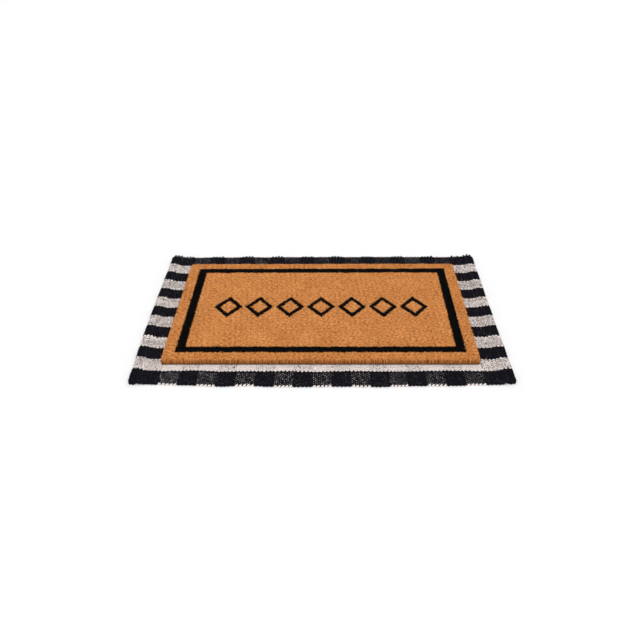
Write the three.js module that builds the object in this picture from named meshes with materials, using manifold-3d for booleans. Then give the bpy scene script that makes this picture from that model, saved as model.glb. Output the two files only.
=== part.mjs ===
// A layered door mat: a coir mat on a vinyl backing, laid loose on a woven cotton check rug.
// Units are millimetres, +Z is up, and the origin is on the floor under the middle of the rug.
// X runs along the rug's long side and Y from its front edge to its back edge.

import * as THREE from "three";
import { mergeVertices } from "three/addons/utils/BufferGeometryUtils.js";
import Module from "manifold-3d";

// Gap that neighbouring pieces keep.
const GAP = 0.3;

// Rug: 13 warp stripes along X, crossed by 19 weft columns along Y.
const RUG_WIDTH = 906;
const RUG_DEPTH = 610;
const CLOTH_THICKNESS = 4.5;
const STRIPE_COUNT = 13;
const COLUMN_COUNT = 19;
const COLUMN_WIDTH = 45;
const ENDS_PER_STRIPE = 14; // warp yarns side by side in one stripe
const ENDS_PER_EDGE_STRIPE = 16; // the front and back stripes are wider
const SEAM_DEPTH = 0.5; // how far the seam between two warp yarns lies below them
const SEAM_WIDTH = 1.2;
const SLOT_FLOOR = 1.3; // thickness of the warp floats under the weft
const SLOT_HEIGHT = 1.9;
const SLOT_END = 3; // solid stretch beside each hem, where the floats meet

// Turns of the weft round the outermost warp yarn, at the front and back edges.
const TURN_DEPTH = 3;
const TURN_THICKNESS = 3.8;
const TURNS_PER_COLUMN = 5;

// Hems: each end of the cloth rises, folds under itself and is sewn down.
const HEM_WIDTH = 23;
const HEM_RISE_START = 1; // this and the next three are measured from the hem's inner edge
const HEM_RISE_END = 6;
const HEM_CUT_END = 7; // where the turned-under layer stops
const HEM_STITCH_LINE = 8.5;
const HEM_SLIT = 0.4; // between the two layers
const STITCH_LENGTH = 6;
const THREAD_WIDTH = 1.2;
const THREAD_HEIGHT = 0.9;

// Coir mat.
const MAT_WIDTH = 762;
const MAT_DEPTH = 457;
const MAT_CORNER_RADIUS = 5;
const BACKING_THICKNESS = 2.5;
const PILE_HEIGHT = 13.2;
const BORDER_WIDTH = 28; // undyed pile outside the black frame
const FRAME_WIDTH = 23;
const MOTIF_COUNT = 7;
const MOTIF_PITCH = 82;
const MOTIF_WIDTH = 76;
const MOTIF_DEPTH = 100;
const MOTIF_STROKE = 12;

const END_COUNT = (STRIPE_COUNT - 2) * ENDS_PER_STRIPE + 2 * ENDS_PER_EDGE_STRIPE;
const END_PITCH = (RUG_DEPTH - 2 * TURN_DEPTH) / END_COUNT;
const HEM_INNER_EDGE = RUG_WIDTH / 2 - HEM_WIDTH;
const SLOT_REACH = HEM_INNER_EDGE - SLOT_END;
const MAT_BASE = CLOTH_THICKNESS + GAP;
const PILE_BASE = BACKING_THICKNESS + GAP;

const cottonBlack = new THREE.MeshStandardMaterial({ color: 0x16151b, roughness: 0.95, metalness: 0 });
const cottonCream = new THREE.MeshStandardMaterial({ color: 0xd9cdc6, roughness: 0.95, metalness: 0 });
const sewingThread = new THREE.MeshStandardMaterial({ color: 0x24232a, roughness: 0.7, metalness: 0 });
const vinyl = new THREE.MeshStandardMaterial({ color: 0x7a5230, roughness: 0.55, metalness: 0 });
const coirNatural = new THREE.MeshStandardMaterial({ color: 0xc8853f, roughness: 1, metalness: 0 });
const coirBlack = new THREE.MeshStandardMaterial({ color: 0x0c0d10, roughness: 1, metalness: 0 });

const wasm = await Module();
wasm.setup();

// A closed geometry as a solid that can be joined and cut.
function solidOf(geometry) {
  const bare = geometry.clone();
  bare.deleteAttribute("normal");
  bare.deleteAttribute("uv");
  const merged = mergeVertices(bare);
  return new wasm.Manifold(
    new wasm.Mesh({
      numProp: 3,
      vertProperties: merged.attributes.position.array,
      triVerts: new Uint32Array(merged.index.array),
    }),
  );
}

function geometryOf(solid) {
  const mesh = solid.getMesh();
  return new THREE.BufferGeometry()
    .setAttribute("position", new THREE.BufferAttribute(mesh.vertProperties, 3))
    .setIndex(new THREE.BufferAttribute(mesh.triVerts, 1));
}

function extruded(shape, depth, curveSegments = 6) {
  return new THREE.ExtrudeGeometry(shape, { depth, bevelEnabled: false, curveSegments });
}

// A section drawn in (Y, Z), pushed along X and centred on X = 0.
function alongX(section, length) {
  const turn = new THREE.Matrix4().makeBasis(
    new THREE.Vector3(0, 1, 0),
    new THREE.Vector3(0, 0, 1),
    new THREE.Vector3(1, 0, 0),
  );
  return extruded(section, length).applyMatrix4(turn).translate(-length / 2, 0, 0);
}

// A section drawn in (X, Z), pushed along Y and centred on Y = 0.
function alongY(section, length) {
  return extruded(section, length).rotateX(Math.PI / 2).translate(0, length / 2, 0);
}

function place(group, name, geometry, material, x = 0, y = 0, z = 0) {
  const mesh = new THREE.Mesh(geometry, material);
  mesh.name = name;
  mesh.position.set(x, y, z);
  group.add(mesh);
  return mesh;
}

const numbered = (stem, index) => `${stem}_${String(index + 1).padStart(2, "0")}`;

// The right-hand end of a stripe in (X, Z): the cloth comes in low, climbs over its own
// turned-under end, and folds round at the rug's outer edge.
function hemOutline() {
  const fold = CLOTH_THICKNESS;
  const foldCentre = RUG_WIDTH / 2 - fold;
  const outline = new THREE.Path();
  outline.moveTo(HEM_INNER_EDGE + HEM_RISE_START, 0);
  outline.lineTo(HEM_INNER_EDGE + HEM_RISE_END, fold + HEM_SLIT / 2);
  outline.lineTo(foldCentre, fold + HEM_SLIT / 2);
  outline.lineTo(foldCentre, fold - HEM_SLIT / 2);
  outline.lineTo(HEM_INNER_EDGE + HEM_CUT_END, fold - HEM_SLIT / 2);
  outline.lineTo(HEM_INNER_EDGE + HEM_CUT_END, 0);
  outline.lineTo(foldCentre, 0);
  outline.absarc(foldCentre, fold, fold, -Math.PI / 2, Math.PI / 2, false);
  outline.lineTo(HEM_INNER_EDGE + HEM_RISE_END, 2 * fold);
  outline.lineTo(HEM_INNER_EDGE + HEM_RISE_START, fold);
  return outline.getPoints(5);
}

// A stripe's section in (X, Z), hemmed at both ends, with the slot that the weft runs through.
function stripeSection() {
  const right = hemOutline();
  const left = right.map((point) => new THREE.Vector2(-point.x, point.y)).reverse();
  const section = new THREE.Shape([...right, ...left]);
  const slot = new THREE.Path();
  slot.moveTo(-SLOT_REACH, SLOT_FLOOR);
  slot.lineTo(-SLOT_REACH, SLOT_FLOOR + SLOT_HEIGHT);
  slot.lineTo(SLOT_REACH, SLOT_FLOOR + SLOT_HEIGHT);
  slot.lineTo(SLOT_REACH, SLOT_FLOOR);
  slot.closePath();
  section.holes.push(slot);
  return section;
}

// A warp stripe of so many yarns, with a shallow seam between each two of them.
function warpStripe(ends) {
  const vee = new THREE.Shape();
  vee.moveTo(0, CLOTH_THICKNESS - SEAM_DEPTH);
  vee.lineTo(SEAM_WIDTH, CLOTH_THICKNESS + SEAM_DEPTH);
  vee.lineTo(-SEAM_WIDTH, CLOTH_THICKNESS + SEAM_DEPTH);
  const seam = alongX(vee, 2 * HEM_INNER_EDGE);
  let stripe = solidOf(alongY(stripeSection(), ends * END_PITCH - GAP));
  for (let i = 1; i < ends; i++) {
    const y = (i - ends / 2) * END_PITCH;
    stripe = stripe.subtract(solidOf(seam.clone().translate(0, y, 0)));
  }
  return geometryOf(stripe);
}

// The scalloped row of weft turns at one edge of a column, bulging towards +Y from Y = 0.
function weftTurns(width) {
  const outline = new THREE.Shape();
  const turn = width / TURNS_PER_COLUMN;
  const root = TURN_DEPTH / 3;
  outline.moveTo(-width / 2, 0);
  outline.lineTo(width / 2, 0);
  for (let i = TURNS_PER_COLUMN - 1; i >= 0; i--) {
    const left = -width / 2 + i * turn;
    outline.lineTo(left + turn, root);
    outline.quadraticCurveTo(left + turn / 2, 2 * TURN_DEPTH - root, left, root);
  }
  return extruded(outline, TURN_THICKNESS, 5);
}

// One weft column: a strip through every stripe's slot, with its turns at the front and back.
// The strip is `inset` narrower again on the side named by `side`: -1, 0 or 1.
function weftColumn(width, inset = 0, side = 0) {
  const reach = RUG_DEPTH / 2 - TURN_DEPTH;
  const thickness = SLOT_HEIGHT - 2 * GAP;
  const strip = new THREE.BoxGeometry(width - 2 * GAP - inset, 2 * reach + 1, thickness);
  strip.translate((-side * inset) / 2, 0, SLOT_FLOOR + SLOT_HEIGHT / 2);
  const bottom = (CLOTH_THICKNESS - TURN_THICKNESS) / 2;
  const back = weftTurns(width).translate(0, reach, bottom);
  const front = weftTurns(width).rotateZ(Math.PI).translate(0, -reach, bottom);
  return geometryOf(solidOf(strip).add(solidOf(back)).add(solidOf(front)));
}

// The line of stitches that holds a hem down: a thread that swells in each stitch.
function hemThread() {
  const stitches = Math.floor((RUG_DEPTH - 4 * TURN_DEPTH) / STITCH_LENGTH);
  const start = (-stitches * STITCH_LENGTH) / 2;
  const section = new THREE.Shape();
  section.moveTo(start, 0);
  section.lineTo(-start, 0);
  for (let i = stitches - 1; i >= 0; i--) {
    const left = start + i * STITCH_LENGTH;
    section.lineTo(left + STITCH_LENGTH, THREAD_HEIGHT / 3);
    section.lineTo(left + 0.7 * STITCH_LENGTH, THREAD_HEIGHT);
    section.lineTo(left + 0.3 * STITCH_LENGTH, THREAD_HEIGHT);
  }
  section.lineTo(start, THREAD_HEIGHT / 3);
  return alongX(section, THREAD_WIDTH);
}

function rug() {
  const group = new THREE.Group();
  const innerStripe = warpStripe(ENDS_PER_STRIPE);
  const edgeStripe = warpStripe(ENDS_PER_EDGE_STRIPE);
  let front = TURN_DEPTH - RUG_DEPTH / 2;
  for (let i = 0; i < STRIPE_COUNT; i++) {
    const colour = i % 2 ? "cream" : "black";
    const atEdge = i === 0 || i === STRIPE_COUNT - 1;
    const stripe = atEdge ? edgeStripe : innerStripe;
    const depth = (atEdge ? ENDS_PER_EDGE_STRIPE : ENDS_PER_STRIPE) * END_PITCH;
    const y = front + depth / 2;
    place(group, `${numbered("warp_stripe", i)}_${colour}`, stripe, i % 2 ? cottonCream : cottonBlack, 0, y);
    front += depth;
  }

  const innerEdge = ((COLUMN_COUNT - 2) * COLUMN_WIDTH) / 2;
  const outerWidth = HEM_INNER_EDGE - GAP - innerEdge - GAP / 2;
  const inner = weftColumn(COLUMN_WIDTH - GAP);
  for (let i = 0; i < COLUMN_COUNT; i++) {
    const colour = i % 2 ? "cream" : "black";
    const name = `${numbered("weft_column", i)}_${colour}`;
    const side = i === 0 ? -1 : i === COLUMN_COUNT - 1 ? 1 : 0;
    const geometry = side ? weftColumn(outerWidth, SLOT_END + GAP, side) : inner;
    const x = side
      ? side * (innerEdge + GAP / 2 + outerWidth / 2)
      : (i - (COLUMN_COUNT - 1) / 2) * COLUMN_WIDTH;
    place(group, name, geometry, i % 2 ? cottonCream : cottonBlack, x);
  }

  const thread = hemThread();
  const threadX = HEM_INNER_EDGE + HEM_STITCH_LINE;
  for (const [name, side] of [["left", -1], ["right", 1]]) {
    place(group, `${name}_hem_thread`, thread, sewingThread, side * threadX, 0, 2 * CLOTH_THICKNESS + GAP);
  }
  return group;
}

function roundedRectangle(Outline, width, depth, radius) {
  const outline = new Outline();
  const x = width / 2 - radius;
  const y = depth / 2 - radius;
  outline.absarc(x, -y, radius, -Math.PI / 2, 0, false);
  outline.absarc(x, y, radius, 0, Math.PI / 2, false);
  outline.absarc(-x, y, radius, Math.PI / 2, Math.PI, false);
  outline.absarc(-x, -y, radius, Math.PI, 1.5 * Math.PI, false);
  outline.closePath();
  return outline;
}

function rectangle(Outline, width, depth) {
  const outline = new Outline();
  outline.moveTo(-width / 2, -depth / 2);
  outline.lineTo(width / 2, -depth / 2);
  outline.lineTo(width / 2, depth / 2);
  outline.lineTo(-width / 2, depth / 2);
  outline.closePath();
  return outline;
}

// A lozenge about (centreX, 0), grown by `grow` measured square to its sides.
function lozenge(Outline, centreX, grow = 0) {
  const halfWidth = MOTIF_WIDTH / 2;
  const halfDepth = MOTIF_DEPTH / 2;
  const scale = 1 + (grow * Math.hypot(halfWidth, halfDepth)) / (halfWidth * halfDepth);
  const outline = new Outline();
  outline.moveTo(centreX + halfWidth * scale, 0);
  outline.lineTo(centreX, halfDepth * scale);
  outline.lineTo(centreX - halfWidth * scale, 0);
  outline.lineTo(centreX, -halfDepth * scale);
  outline.closePath();
  return outline;
}

// The mat's pile is set in zones of dyed and undyed fibre, all fused into one vinyl backing.
function coirMat() {
  const group = new THREE.Group();
  group.position.z = MAT_BASE;
  const backing = roundedRectangle(THREE.Shape, MAT_WIDTH, MAT_DEPTH, MAT_CORNER_RADIUS);
  place(group, "vinyl_backing", extruded(backing, BACKING_THICKNESS), vinyl);

  const frameWidth = MAT_WIDTH - 2 * BORDER_WIDTH;
  const frameDepth = MAT_DEPTH - 2 * BORDER_WIDTH;
  const border = roundedRectangle(THREE.Shape, MAT_WIDTH, MAT_DEPTH, MAT_CORNER_RADIUS);
  border.holes.push(rectangle(THREE.Path, frameWidth, frameDepth));
  place(group, "coir_border", extruded(border, PILE_HEIGHT), coirNatural, 0, 0, PILE_BASE);

  const frame = rectangle(THREE.Shape, frameWidth - 2 * GAP, frameDepth - 2 * GAP);
  const fieldWidth = frameWidth - 2 * FRAME_WIDTH;
  const fieldDepth = frameDepth - 2 * FRAME_WIDTH;
  frame.holes.push(rectangle(THREE.Path, fieldWidth, fieldDepth));
  place(group, "coir_frame_black", extruded(frame, PILE_HEIGHT), coirBlack, 0, 0, PILE_BASE);

  const field = rectangle(THREE.Shape, fieldWidth - 2 * GAP, fieldDepth - 2 * GAP);
  for (let i = 0; i < MOTIF_COUNT; i++) {
    const x = (i - (MOTIF_COUNT - 1) / 2) * MOTIF_PITCH;
    field.holes.push(lozenge(THREE.Path, x, GAP));
    const ring = lozenge(THREE.Shape, 0);
    ring.holes.push(lozenge(THREE.Path, 0, -MOTIF_STROKE));
    place(group, numbered("lozenge_black", i), extruded(ring, PILE_HEIGHT), coirBlack, x, 0, PILE_BASE);
    const centre = extruded(lozenge(THREE.Shape, 0, -MOTIF_STROKE - GAP), PILE_HEIGHT);
    place(group, numbered("lozenge_centre", i), centre, coirNatural, x, 0, PILE_BASE);
  }
  place(group, "coir_field", extruded(field, PILE_HEIGHT), coirNatural, 0, 0, PILE_BASE);
  return group;
}

const doorMat = new THREE.Group();
doorMat.add(rug(), coirMat());

export default doorMat;
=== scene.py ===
"""Looks for the layered door mat: a printed coir mat lying loose on a woven cotton check rug.

Every yarn of the rug and every tuft of the coir is geometry. Sizes come from the CAD frame, and
the rest are named below. Metres throughout; +X runs along the rug's long side and +Z is up.
"""

import math

import bpy
import numpy as np
from mathutils import Matrix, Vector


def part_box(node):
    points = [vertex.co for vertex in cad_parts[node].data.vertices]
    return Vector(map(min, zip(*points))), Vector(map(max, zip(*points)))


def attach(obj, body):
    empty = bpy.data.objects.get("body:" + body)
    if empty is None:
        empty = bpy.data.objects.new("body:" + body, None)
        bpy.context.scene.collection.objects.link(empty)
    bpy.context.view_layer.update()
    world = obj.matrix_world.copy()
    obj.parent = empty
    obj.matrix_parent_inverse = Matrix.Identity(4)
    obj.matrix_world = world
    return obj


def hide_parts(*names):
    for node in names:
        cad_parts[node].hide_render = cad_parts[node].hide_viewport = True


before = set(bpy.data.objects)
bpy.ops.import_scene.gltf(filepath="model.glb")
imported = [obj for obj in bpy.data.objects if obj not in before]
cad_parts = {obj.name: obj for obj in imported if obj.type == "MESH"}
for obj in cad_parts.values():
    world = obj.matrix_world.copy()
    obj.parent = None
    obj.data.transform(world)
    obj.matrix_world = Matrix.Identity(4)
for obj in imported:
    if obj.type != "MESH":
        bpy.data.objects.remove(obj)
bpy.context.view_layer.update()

MM = 0.001
RANDOM = np.random.default_rng(20)

# The UV map that the materials read their palette places from. It is laid out here as a small palette,
# one column for each shade, because tens of thousands of separate fibres can't be unwrapped any other
# way.
PALETTE_MAP = "OFBake"


# ---------------------------------------------------------------- shared helpers


def srgb(red, green, blue):
    """A screen colour, 0 to 255, as the linear colour that a shader takes."""
    shares = [value / 255 for value in (red, green, blue)]
    linear = [s / 12.92 if s <= 0.04045 else ((s + 0.055) / 1.055) ** 2.4 for s in shares]
    return (*linear, 1.0)


def blend_between(low, high, share):
    """low where share is 0, high where it is 1."""
    return low + (high - low) * share


def smooth_step(value):
    """0 below 0 and 1 above 1, with a smooth way between them."""
    value = np.clip(value, 0, 1)
    return value * value * (3 - 2 * value)


def add_object(name, data):
    """A new object that shows the data, in the scene."""
    made = bpy.data.objects.new(name, data)
    bpy.context.scene.collection.objects.link(made)
    return made


class Soup:
    """Faces gathered from many small shapes, which become one mesh."""

    def __init__(self):
        self.points, self.faces, self.maps, self.count = [], [], [], 0

    def add(self, points, *groups):
        """Each group is rows of point numbers, one row a face, and a palette place for each number."""
        self.points.append(points)
        for faces, maps in groups:
            self.faces.append(faces + self.count)
            self.maps.append(maps)
        self.count += len(points)

    def piece(self, name, material, smooth):
        """All the faces so far as one object, in one material."""
        mesh = bpy.data.meshes.new(name)
        points = np.concatenate(self.points)
        corners = np.concatenate([faces.ravel() for faces in self.faces])
        sizes = np.concatenate([np.full(len(faces), faces.shape[1]) for faces in self.faces])
        mesh.vertices.add(len(points))
        mesh.vertices.foreach_set("co", points.astype(np.float32).ravel())
        mesh.loops.add(len(corners))
        mesh.loops.foreach_set("vertex_index", corners.astype(np.int32))
        mesh.polygons.add(len(sizes))
        mesh.polygons.foreach_set("loop_start", (np.cumsum(sizes) - sizes).astype(np.int32))
        mesh.polygons.foreach_set("use_smooth", np.full(len(sizes), smooth))
        palette = mesh.uv_layers.new(name=PALETTE_MAP)
        places = np.concatenate([maps.reshape(-1, 2) for maps in self.maps])
        palette.data.foreach_set("uv", places.astype(np.float32).ravel())
        mesh.materials.append(material)
        mesh.update(calc_edges=True)
        return add_object(name, mesh)


def finish_piece(piece, body, slot, *nodes):
    """Attaches a piece to the body it rides on and hides the CAD nodes that it takes the place of. The
    slot is not used.
    """
    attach(piece, body)
    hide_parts(*nodes)


# ---------------------------------------------------------------- materials


WHITE = (1, 1, 1, 1)
BUMP_HEIGHT = 0.3 * MM


class Nodes:
    """A material's node tree, with short ways to add to it."""

    def __init__(self, name):
        self.material = bpy.data.materials.new(name)
        self.material.use_nodes = True
        self.tree = self.material.node_tree
        self.shader = self.tree.nodes["Principled BSDF"]

    def add(self, kind, **settings):
        """A new node with its properties set."""
        node = self.tree.nodes.new(kind)
        for key, value in settings.items():
            setattr(node, key, value)
        return node

    def link(self, source, target):
        self.tree.links.new(source, target)

    def math(self, operation, first, second=0.0):
        """The result of a sum on two values, each a number or another node's output."""
        node = self.add("ShaderNodeMath", operation=operation)
        for socket, value in zip(node.inputs, (first, second)):
            if isinstance(value, (int, float)):
                socket.default_value = value
            else:
                self.link(value, socket)
        return node.outputs[0]

    def ramp(self, factor, stops):
        """The colour that the factor picks between stops, each a position and a colour."""
        node = self.add("ShaderNodeValToRGB")
        elements = node.color_ramp.elements
        while len(elements) < len(stops):
            elements.new(0.5)
        for element, (position, colour) in zip(elements, stops):
            element.position = position
            element.color = colour
        self.link(factor, node.inputs["Fac"])
        return node.outputs["Color"]

    def mix(self, blend_type, factor, first, second):
        """Two colours blended."""
        node = self.add("ShaderNodeMix", data_type="RGBA", blend_type=blend_type)
        sockets = (node.inputs[0], node.inputs[6], node.inputs[7])  # the factor, and the two colours
        for socket, value in zip(sockets, (factor, first, second)):
            if isinstance(value, (int, float, tuple)):
                socket.default_value = value
            else:
                self.link(value, socket)
        return node.outputs[2]

    def bump(self, height, strength):
        """Gives the surface a fine relief."""
        node = self.add("ShaderNodeBump")
        node.inputs["Strength"].default_value = strength
        node.inputs["Distance"].default_value = BUMP_HEIGHT
        self.link(height, node.inputs["Height"])
        self.link(node.outputs["Normal"], self.shader.inputs["Normal"])

    def palette(self):
        """The place on the palette map: across its shades, and along the yarn or fibre."""
        place = self.add("ShaderNodeUVMap", uv_map=PALETTE_MAP)
        split = self.add("ShaderNodeSeparateXYZ")
        self.link(place.outputs["UV"], split.inputs[0])
        return split.outputs["X"], split.outputs["Y"]


YARN_SHADES = 8  # columns of the palette, each of them one shade of yarn all the way round
PLIES = 2
TURNS_PER_TILE = 4  # of the plies round the yarn
STREAKS = (9, 3)  # how fine the streaks of its fibres are across their twist, and along the yarn
# painted shade in the grooves between the plies
GROOVE_PAINTED_SHADE = (0.8, 0.78, 0.76, 1)
STREAK_SHADE = (0.86, 0.85, 0.84, 1)


def yarn_material(name, dark, light, sheen):
    """Two-ply cotton: a shade for each yarn, and grooves that wind round it between its plies, in its
    bump and as painted shade in its colour.
    """
    nodes = Nodes(name)
    across, along = nodes.palette()
    column = nodes.math("MULTIPLY", across, YARN_SHADES)
    around = nodes.math("FRACT", column)
    shade = nodes.math("DIVIDE", nodes.math("FLOOR", column), YARN_SHADES - 1)
    turn = nodes.math("MULTIPLY", around, PLIES)
    twist = nodes.math("ADD", turn, nodes.math("MULTIPLY", along, TURNS_PER_TILE))
    wave = nodes.math("SINE", nodes.math("MULTIPLY", twist, 2 * math.pi))
    ridge = nodes.math("ADD", nodes.math("MULTIPLY", wave, 0.5), 0.5)
    tone = nodes.ramp(shade, [(0, dark), (1, light)])
    # painted shade: the grooves between the plies are made darker
    painted_groove_shade = nodes.ramp(ridge, [(0, GROOVE_PAINTED_SHADE), (0.4, WHITE)])
    spun = nodes.add("ShaderNodeCombineXYZ")
    nodes.link(nodes.math("MULTIPLY", twist, STREAKS[0]), spun.inputs["X"])
    nodes.link(nodes.math("MULTIPLY", along, STREAKS[1]), spun.inputs["Y"])
    fibres = nodes.add("ShaderNodeTexNoise")
    fibres.inputs["Scale"].default_value = 1
    nodes.link(spun.outputs["Vector"], fibres.inputs["Vector"])
    streak = nodes.ramp(fibres.outputs["Fac"], [(0.35, STREAK_SHADE), (0.6, WHITE)])
    colour = nodes.mix("MULTIPLY", 1.0, nodes.mix("MULTIPLY", 1.0, tone, painted_groove_shade), streak)
    nodes.link(colour, nodes.shader.inputs["Base Color"])
    nodes.bump(nodes.math("ADD", ridge, fibres.outputs["Fac"]), 0.5)
    nodes.shader.inputs["Roughness"].default_value = 0.95
    nodes.shader.inputs["Specular IOR Level"].default_value = 0.15
    nodes.shader.inputs["Sheen Weight"].default_value = sheen
    nodes.shader.inputs["Sheen Roughness"].default_value = 0.6
    return nodes.material


FIBRE_SHADES = 64
FIBRE_CAP = 0.8  # above this height on the palette is the cut end of a fibre
PAINTED_WAIST_SHADE = (0.84, 0.7, 0.52, 1)  # painted shade that dulls its colour part of the way down it


def fibre_material(name, stops, root, gloss):
    """Cut fibres: a shade for each one, with painted shade that makes them darker and richer towards the
    backing.
    """
    nodes = Nodes(name)
    across, along = nodes.palette()
    tone = nodes.ramp(across, stops)
    # painted shade: darker down the fibre, deep in the pile, full colour at the cut end
    depth = nodes.ramp(along, [(0, root), (0.6, PAINTED_WAIST_SHADE), (FIBRE_CAP, WHITE)])
    colour = nodes.mix("MULTIPLY", 1.0, tone, depth)
    nodes.link(colour, nodes.shader.inputs["Base Color"])
    nodes.shader.inputs["Roughness"].default_value = 0.9
    nodes.shader.inputs["Specular IOR Level"].default_value = gloss
    return nodes.material


PEBBLES_PER_METRE = 450
CLOUDS_PER_METRE = 30


def vinyl_material(name, dark, light):
    """Cast vinyl, with the fine pebbling that its mould leaves."""
    nodes = Nodes(name)
    place = nodes.add("ShaderNodeTexCoord")
    pebbles = nodes.add("ShaderNodeTexVoronoi")
    pebbles.inputs["Scale"].default_value = PEBBLES_PER_METRE
    nodes.link(place.outputs["Object"], pebbles.inputs["Vector"])
    cloud = nodes.add("ShaderNodeTexNoise")
    cloud.inputs["Scale"].default_value = CLOUDS_PER_METRE
    nodes.link(place.outputs["Object"], cloud.inputs["Vector"])
    colour = nodes.ramp(cloud.outputs["Fac"], [(0.3, dark), (0.7, light)])
    nodes.link(colour, nodes.shader.inputs["Base Color"])
    nodes.bump(pebbles.outputs["Distance"], 0.4)
    nodes.shader.inputs["Roughness"].default_value = 0.55
    return nodes.material


COIR_SHADES = [
    (0.0, srgb(132, 74, 34)),
    (0.25, srgb(196, 122, 60)),
    (0.5, srgb(228, 156, 86)),
    (0.75, srgb(240, 174, 102)),
    (1.0, srgb(250, 208, 150)),
]
PRINTED_SHADES = [(0.0, srgb(5, 4, 4)), (0.8, srgb(14, 13, 13)), (1.0, srgb(34, 30, 28))]

# One material for each of the record's slots, under the slot's name.
MATERIALS = {
    slot: make(slot, *settings)
    for slot, make, *settings in (
        ("cotton_black", yarn_material, srgb(4, 3, 9), srgb(20, 18, 30), 0.0),
        ("cotton_cream", yarn_material, srgb(150, 138, 135), srgb(253, 243, 238), 0.05),
        ("sewing_thread", yarn_material, srgb(38, 37, 42), srgb(52, 51, 56), 0.05),
        # the colour after the shades is the painted shade that the fibres take at their roots
        ("coir_natural", fibre_material, COIR_SHADES, (0.34, 0.22, 0.12, 1), 0.2),
        ("coir_black", fibre_material, PRINTED_SHADES, (0.7, 0.6, 0.5, 1), 0.06),
        ("vinyl_backing", vinyl_material, srgb(64, 40, 24), srgb(86, 55, 33)),
    )
}


# ---------------------------------------------------------------- the rug's cloth


STRIPE_NODES = sorted(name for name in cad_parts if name.startswith("warp_stripe"))
COLUMN_NODES = sorted(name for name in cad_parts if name.startswith("weft_column"))
front_low, front_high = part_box(STRIPE_NODES[0])
second_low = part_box(STRIPE_NODES[1])[0]

RUG_HALF_WIDTH = front_high.x
CLOTH = front_high.z / 2  # its thickness: the hem is two layers of cloth
CLOTH_HALF_DEPTH = (second_low.y - front_high.y) / 2 - front_low.y
COLUMN_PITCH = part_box(COLUMN_NODES[2])[0].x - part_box(COLUMN_NODES[1])[0].x

MIDDLE_COLUMN = len(COLUMN_NODES) // 2
HEM_COLUMN = (MIDDLE_COLUMN - 0.5) * COLUMN_PITCH  # where the outermost columns start

ENDS = 14  # warp yarns in a stripe
EDGE_ENDS = 16  # in the front and back stripes
END_COUNT = (len(STRIPE_NODES) - 2) * ENDS + 2 * EDGE_ENDS
PICKS = 10  # weft yarns in a column
END_PITCH = 2 * CLOTH_HALF_DEPTH / END_COUNT
PICK_PITCH = COLUMN_PITCH / PICKS
RINGS_PER_PICK = 3
YARN_SIDES = 6
WARP_TILE = 2 * RINGS_PER_PICK  # rings of a yarn's tube that one tile of the palette covers
WEFT_TILE = 2
SHADE_RINGS = 2  # rings of a warp yarn that one shade covers

WARP_SWING = 1.05 * MM  # of a warp yarn's middle over and under the weft
WARP_WIDTH = (1.4 * MM, 2.65 * MM)  # half widths, where it crosses the cloth and at its crown
WARP_HEIGHT = (0.84 * MM, 0.75 * MM)
PHASE_JITTER = 0.2  # unevenness of a warp yarn: of its crowns' places, in radians
WIDTH_JITTER = 0.12  # of its size, as a share
HEIGHT_JITTER = 0.06  # of its rise and fall, as a share
PLACE_JITTER = 0.35 * MM  # of its place across the cloth, which changes every few rings
PLACE_RINGS = 4
EDGE_YARN = 1.4  # how much thicker the outermost warp yarn is at the front and at the back
SEAM_YARN = 1.4  # how much broader a stripe's first and last yarns lie, over the next stripe
BLACK_WEFT_RADIUS = (0.95 * MM, 1.8 * MM)  # inside the cloth and in a turn
CREAM_WEFT_RADIUS = (0.58 * MM, 2.15 * MM)
BACK_THINNING = 0.25  # how much thinner the cream weft is drawn at the back edge
WEFT_JITTER = 0.45  # unevenness of the weft's radius inside the cloth, as a share
WEFT_LIMITS = (0.3, 1.9)  # of that radius over its mean

HEM_RISE = (RUG_HALF_WIDTH - 38 * MM, RUG_HALF_WIDTH - 17 * MM)  # where the cloth climbs on to its hem
HEM_PUFF = 2.4 * MM  # how far the hem's upper layer stands off the lower one
HEM_PRESS = (0.0, 0.22, 0.32)  # share of its rise pressed out at the left, at the right and at its ends
HEM_CUT = RUG_HALF_WIDTH - 23 * MM  # where the cloth's cut edge lies, under the hem
FOLD_POINTS = 60
PATH_STEP = 0.1 * MM
STITCH_X = RUG_HALF_WIDTH - 21 * MM
STITCH_PINCH = 0.5  # share of the cloth's thickness that the stitches pull in, and how far from them
STITCH_SPREAD = 1.5 * MM
CORNER_RADIUS = 13 * MM
CORNER_REACH = 25 * MM  # how far from the front and back edges the corners' shape begins
BOW_REACH = 90 * MM  # how far in from the front and back edges the cloth is drawn out of straight
FRONT_BOW = (4 * MM, 10 * MM)  # outwards at the middle of the edge, and back in towards its ends
BACK_BOW = (-1.5 * MM, 2 * MM)
FRONT_DRIFT = (5.5 * MM, 2.5 * MM)  # how far the front's left part and its right corner lie to the right
DRIFT_TURN = (0.3, 0.5)  # shares of the rug's half width between which the left part ends
DRIFT_REACH = 250 * MM  # how far in from the front edge that fades out


def cloth_path():
    """The middle of the cloth in (X, Z), from the rug's middle out round the hem, and its length
    so far and direction at each point."""
    middle, lift = CLOTH / 2, CLOTH + HEM_PUFF
    radius = lift / 2
    fold = RUG_HALF_WIDTH - radius - middle
    rise = np.arange(HEM_RISE[0], HEM_RISE[1], PATH_STEP)
    climb = smooth_step((rise - HEM_RISE[0]) / (HEM_RISE[1] - HEM_RISE[0]))
    top = np.arange(HEM_RISE[1], fold, PATH_STEP)
    turn = np.linspace(math.pi / 2, -math.pi / 2, FOLD_POINTS)
    under = np.arange(fold - PATH_STEP, HEM_CUT, -PATH_STEP)
    x = np.concatenate([[0], rise, top, fold + radius * np.cos(turn), under])
    z = np.concatenate([
        [middle],
        middle + climb * lift,
        np.full(len(top), middle + lift),
        middle + radius + radius * np.sin(turn),
        np.full(len(under), middle),
    ])
    along = np.concatenate([[0], np.cumsum(np.hypot(np.diff(x), np.diff(z)))])
    angle = np.unwrap(np.arctan2(np.gradient(z, along), np.gradient(x, along)))
    return x, z, along, angle


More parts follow.
